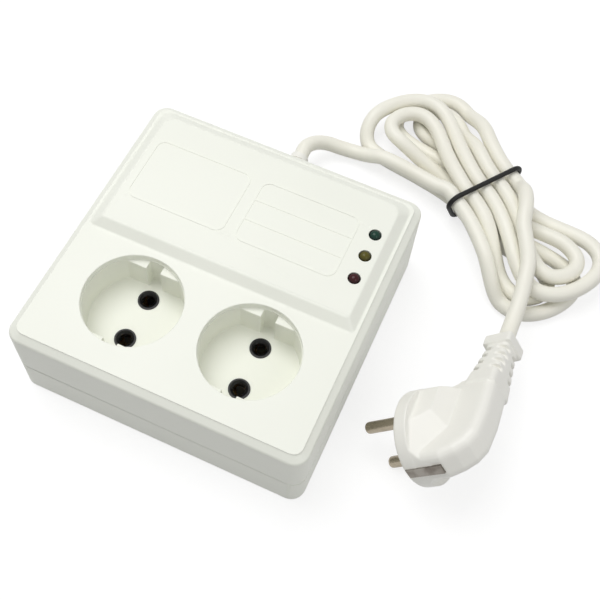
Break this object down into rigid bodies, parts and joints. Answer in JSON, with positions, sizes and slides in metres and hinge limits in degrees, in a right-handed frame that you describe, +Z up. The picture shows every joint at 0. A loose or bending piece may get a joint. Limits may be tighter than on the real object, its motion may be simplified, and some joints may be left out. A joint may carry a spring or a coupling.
{
  "type": "appliance voltage protector",
  "caption": "Low square voltage protector housing with two recessed round mains sockets, a raised rear panel with indicator lamps, and a bundled cord with an angled plug.",
  "frame": {"origin": "middle of the underside of the housing, on the surface it stands on", "axes": "+Z up out of the sockets, -Y towards the socket edge of the housing, +Y towards the edge where the cord leaves"},
  "size_m": [0.2051, 0.2187, 0.0508],
  "materials": {
    "shell_white": "satin",
    "bush_black": "satin",
    "clamp_white": "matt",
    "plug_white": "satin",
    "cord_white": "satin",
    "tie_black": "matt",
    "nickel": "polished",
    "steel": "satin",
    "brass": "satin",
    "copper_coil": "gloss",
    "board_green": "satin",
    "relay_blue": "satin",
    "part_black": "matt",
    "varistor_blue": "gloss",
    "film_yellow": "gloss",
    "can_dark": "gloss",
    "fuse_metal": "bright",
    "terminal_green": "satin",
    "wire_brown": "satin",
    "wire_blue": "satin",
    "lens_green": "gloss",
    "lens_yellow": "gloss",
    "lens_red": "gloss"
  },
  "bodies": {
    "housing": {"upper_shell": "shell_white", "socket_cups": "shell_white", "lower_shell": "shell_white", "case_screws": "steel", "pin_bushes": "bush_black", "contact_bar_back": "brass", "contact_bar_front": "brass", "circuit_board": "board_green", "board_screws": "steel", "relay_base": "part_black", "relay_yoke": "steel", "relay_core": "steel", "relay_coil": "copper_coil", "relay_fixed_contact": "brass", "relay_cover": "relay_blue", "led_green": "lens_green", "led_yellow": "lens_yellow", "led_red": "lens_red", "led_spacers": "part_black", "varistor": "varistor_blue", "fuse": "fuse_metal", "film_capacitor": "film_yellow", "electrolytic_capacitors": "can_dark", "control_chip": "part_black", "terminal_block": "terminal_green", "cord_clamp": "clamp_white", "clamp_screws": "steel", "cord_inside": "cord_white", "wire_live_in": "wire_brown", "wire_neutral_in": "wire_blue", "wire_live_out": "wire_brown", "wire_neutral_out": "wire_blue", "cord_relief": "plug_white", "cord_lead": "cord_white", "cord_hank": "cord_white", "cord_tail": "cord_white", "cord_tie": "tie_black", "plug_body": "plug_white", "plug_pins": "nickel", "plug_earth_clips": "nickel"},
    "armature": {"relay_armature": "steel", "relay_contact_arm": "brass"}
  },
  "joints": [
    {"name": "armature_pivot", "type": "hinge", "parent": "housing", "child": "armature", "pos_m": [-0.0281, 0.0172, 0.0306], "axis": [0, -1, 0], "range_deg": [0, 3.5], "stiffness_Nm_per_rad": 0.02, "springref_deg": -2.86}
  ]
}
